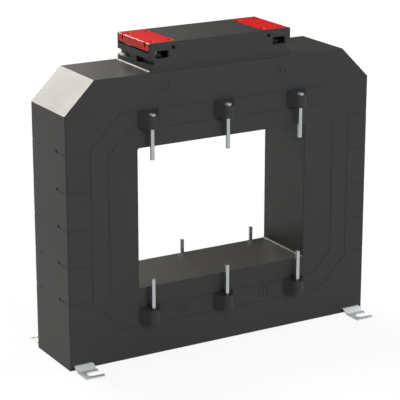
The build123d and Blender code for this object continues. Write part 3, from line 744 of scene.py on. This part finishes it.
class TRANSFORMER_OT_feet(bpy.types.Operator):
    """Finish the bent sheet feet in zinc"""

    bl_idname = "transformer.feet"
    bl_label = "Feet"

    def execute(self, context):
        metal = context.scene.transformer_metal
        zinc = plated_metal("foot_zinc", metal.foot_colour, metal.foot_roughness,
                            streak=(1, 0.15, 1), metallic=metal.foot_metal)
        give(FOOT_NODES, zinc)
        return {"FINISHED"}


class TRANSFORMER_OT_clamp_screws(bpy.types.Operator):
    """Make the clamp screws again with their threads, and finish the nuts"""

    bl_idname = "transformer.clamp_screws"
    bl_label = "Clamp screws"

    def execute(self, context):
        sizes = context.scene.transformer_thread
        metal = context.scene.transformer_metal
        steel = plated_metal("screw_zinc", metal.screw_colour, metal.screw_roughness,
                             streak=(1, 1, 0.2), relief=0.000001, heads=head_roughness)
        give(NUT_NODES, steel)
        for name in CLAMP_SCREW_NODES:
            low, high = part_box(name)
            points = clamp_screw_points(high.z - low.z - sizes.head_sink, sizes)
            centre = (low + high) / 2
            if "_top_" in name:
                points[..., 2] += low.z
            else:
                points = points * (1, -1, -1)
                points[..., 2] += high.z
            points[..., 0] += centre.x
            points[..., 1] += centre.y
            mesh = grid_mesh(name + "_threaded", points)
            piece = finished(name + "_threaded", mesh, steel, name + "_body")
            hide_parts(name)
        return {"FINISHED"}


class TRANSFORMER_OT_terminals(bpy.types.Operator):
    """Finish the terminal bars, clamp washers, screws and leads, the metal darkened as painted
    shade
    """

    bl_idname = "transformer.terminals"
    bl_label = "Terminals"

    def execute(self, context):
        look = context.scene.transformer_plastic
        metal = context.scene.transformer_metal
        # Painted shade: bars, washers and screws take a colour far darker than plated metal, for
        # the shade inside the terminal box
        nickel = plated_metal("terminal_nickel", metal.shaded_terminal_colour, roughness=0.3,
                              streak=(1, 0.2, 1))
        shaded_screw_metal = plated_metal("terminal_screw_zinc", metal.shaded_terminal_screw_colour, roughness=0.3)
        sleeve = moulded_plastic("lead_insulation", look.lead_colour, roughness=0.4, look=look)
        give(BRASS_NODES, nickel)
        give(TERMINAL_SCREW_NODES, shaded_screw_metal)
        give(LEAD_NODES, sleeve)
        return {"FINISHED"}


class TRANSFORMER_OT_core(bpy.types.Operator):
    """Finish the core, its case and its windings inside the housing"""

    bl_idname = "transformer.core"
    bl_label = "Core and windings"

    def execute(self, context):
        look = context.scene.transformer_plastic
        metal = context.scene.transformer_metal
        natural = moulded_plastic("case_plastic", look.case_colour, roughness=0.5, look=look)
        strip = plated_metal("core_strip", metal.core_colour, roughness=0.45, streak=(1, 0.02, 1),
                             feature=0.0006)
        give(CASE_NODES, natural)
        give(("core",), strip)
        give(WINDING_NODES, wound_wire("winding_copper", metal.copper_colour))
        return {"FINISHED"}


class TRANSFORMER_OT_marks(bpy.types.Operator):
    """Add the raised mould marks of the front face"""

    bl_idname = "transformer.marks"
    bl_label = "Mould marks"

    def execute(self, context):
        sizes = context.scene.transformer_faces
        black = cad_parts["front_shell"].data.materials[0]
        marks = (
            ("upper_left", -sizes.upper_distance, sizes.upper_height, "2"),
            ("upper_right", sizes.upper_distance, sizes.upper_height, "1"),
            ("lower_left", -sizes.lower_distance, sizes.lower_height, "2"),
            ("lower_right", sizes.lower_distance, sizes.lower_height, "1"),
        )
        for name, x, z, digit in marks:
            centre = Vector((x, -sizes.face, z))
            ring = grid_mesh("mark_ring_" + name, bead_ring(centre, sizes.ring_radius, sizes.bead))
            finished("mark_ring_" + name, ring, black, "housing", math.pi)
            writing = digit_mesh(digit, sizes.digit_height, sizes.relief, centre)
            finished("mark_digit_" + name, writing, black, "housing")
        return {"FINISHED"}


def softbox(name, direction, size, strength, tint):
    """An area lamp that faces the middle of the housing and that the camera doesn't see."""
    middle = (CAD_BOX[0] + CAD_BOX[1]) / 2
    place = middle + Vector(direction).normalized() * SOFTBOX_DISTANCE
    lamp = bpy.data.lights.new(name, "AREA")
    lamp.shape = "RECTANGLE"
    lamp.size, lamp.size_y = size
    lamp.energy = strength * SOFTBOX_WATTS * size[0] * size[1]
    lamp.color = tint
    holder = bpy.data.objects.new(name, lamp)
    holder.location = place
    holder.rotation_mode = "QUATERNION"
    holder.rotation_quaternion = (middle - place).to_track_quat("-Z", "Y")
    holder.visible_camera = False
    bpy.context.scene.collection.objects.link(holder)


def white_floor(stage):
    """A pale floor that shows white to the camera and in reflections, and keeps a soft shadow."""
    paint = Paint("pale_floor")
    tone = paint.noise(paint.place(), FLOOR_CLOUD, CLOUD_DETAIL)
    colour = paint.blend(tone, shade(stage.floor_colour, FLOOR_DARK), stage.floor_colour)
    dim = shade(stage.floor_colour, stage.shadow_share)
    white = {"Color": (1, 1, 1), "Strength": 1 - stage.shadow_share}
    plain = paint.add("ShaderNodeBsdfDiffuse", {}, {"Color": colour})
    faint = paint.add("ShaderNodeBsdfDiffuse", {}, {"Color": dim})
    glow = paint.add("ShaderNodeEmission", {}, white)
    shown = paint.add("ShaderNodeAddShader", {}, {0: faint, 1: glow})
    seen = paint.add("ShaderNodeLightPath", output="Is Camera Ray")
    seen = seen + paint.add("ShaderNodeLightPath", output="Is Glossy Ray")
    seen = seen + paint.add("ShaderNodeLightPath", output="Is Transmission Ray")
    paint.add_output(paint.add("ShaderNodeMixShader", {}, {0: seen, 1: plain, 2: shown}))
    return paint.material


class TRANSFORMER_OT_stage(bpy.types.Operator):
    """Set the floor, lamps, world and camera"""

    bl_idname = "transformer.stage"
    bl_label = "Stage"

    def execute(self, context):
        stage = context.scene.transformer_stage
        scene = context.scene
        edge = np.array([-FLOOR_REACH, FLOOR_REACH])
        corners = np.stack(np.meshgrid(edge, edge), axis=-1)
        points = np.concatenate([corners, np.full((2, 2, 1), CAD_BOX[0].z - FLOOR_DROP)], axis=-1)
        mesh = grid_mesh("floor", points, closed_columns=False)
        floor = bpy.data.objects.new("floor", mesh)
        scene.collection.objects.link(floor)
        mesh.materials.append(white_floor(stage))

        world = bpy.data.worlds.new("studio")
        world.use_nodes = True
        back = world.node_tree.nodes["Background"]
        back.inputs["Color"].default_value = (*stage.world_colour, 1)
        back.inputs["Strength"].default_value = stage.world_strength
        scene.world = world
        softbox("key_softbox", stage.key_direction, stage.key_size, stage.key_strength,
                stage.key_tint)
        softbox("edge_softbox", stage.edge_direction, stage.edge_size, stage.edge_strength,
                stage.key_tint)
        softbox("over_softbox", stage.over_direction, stage.over_size, stage.over_strength,
                stage.over_tint)
        softbox("front_softbox", stage.front_direction, stage.front_size, stage.front_strength,
                stage.front_tint)

        camera_data = bpy.data.cameras.new("photo_camera")
        camera_data.sensor_width = SENSOR_WIDTH
        camera_data.lens = stage.focal_length
        camera = bpy.data.objects.new("photo_camera", camera_data)
        camera.location = stage.camera_place
        camera.rotation_euler = (math.pi / 2 - stage.camera_elevation, 0, -stage.camera_azimuth)
        scene.collection.objects.link(camera)
        scene.camera = camera
        scene.view_settings.view_transform = "Standard"
        return {"FINISHED"}


class TRANSFORMER_PT_panel(bpy.types.Panel):
    """Lists the steps that dress the transformer"""

    bl_idname = "TRANSFORMER_PT_panel"
    bl_label = "Current transformer"
    bl_space_type = "VIEW_3D"
    bl_region_type = "UI"
    bl_category = "Transformer"

    def draw(self, context):
        for operator in OPERATORS:
            self.layout.operator(operator.bl_idname)
        for group in GROUPS:
            settings = getattr(context.scene, group)
            column = self.layout.column()
            for key in settings.__annotations__:
                column.prop(settings, key)


GROUPS = {
    "transformer_plastic": PlasticLook,
    "transformer_metal": MetalLook,
    "transformer_thread": ThreadSizes,
    "transformer_faces": FaceSizes,
    "transformer_stage": StageSettings,
}
OPERATORS = (
    TRANSFORMER_OT_housing,
    TRANSFORMER_OT_covers,
    TRANSFORMER_OT_feet,
    TRANSFORMER_OT_clamp_screws,
    TRANSFORMER_OT_terminals,
    TRANSFORMER_OT_core,
    TRANSFORMER_OT_marks,
    TRANSFORMER_OT_stage,
)
CLASSES = (*GROUPS.values(), *OPERATORS, TRANSFORMER_PT_panel)


def register():
    """Makes the classes known to Blender and hangs each group of properties on the scene."""
    for cls in CLASSES:
        bpy.utils.register_class(cls)
    for name, group in GROUPS.items():
        setattr(bpy.types.Scene, name, PointerProperty(type=group))


def unregister():
    """Takes back what register did."""
    for name in GROUPS:
        delattr(bpy.types.Scene, name)
    for cls in reversed(CLASSES):
        bpy.utils.unregister_class(cls)


def main():
    """Runs every step in order."""
    register()
    for operator in OPERATORS:
        area, step = operator.bl_idname.split(".")
        getattr(getattr(bpy.ops, area), step)()


if __name__ == "__main__":
    main()
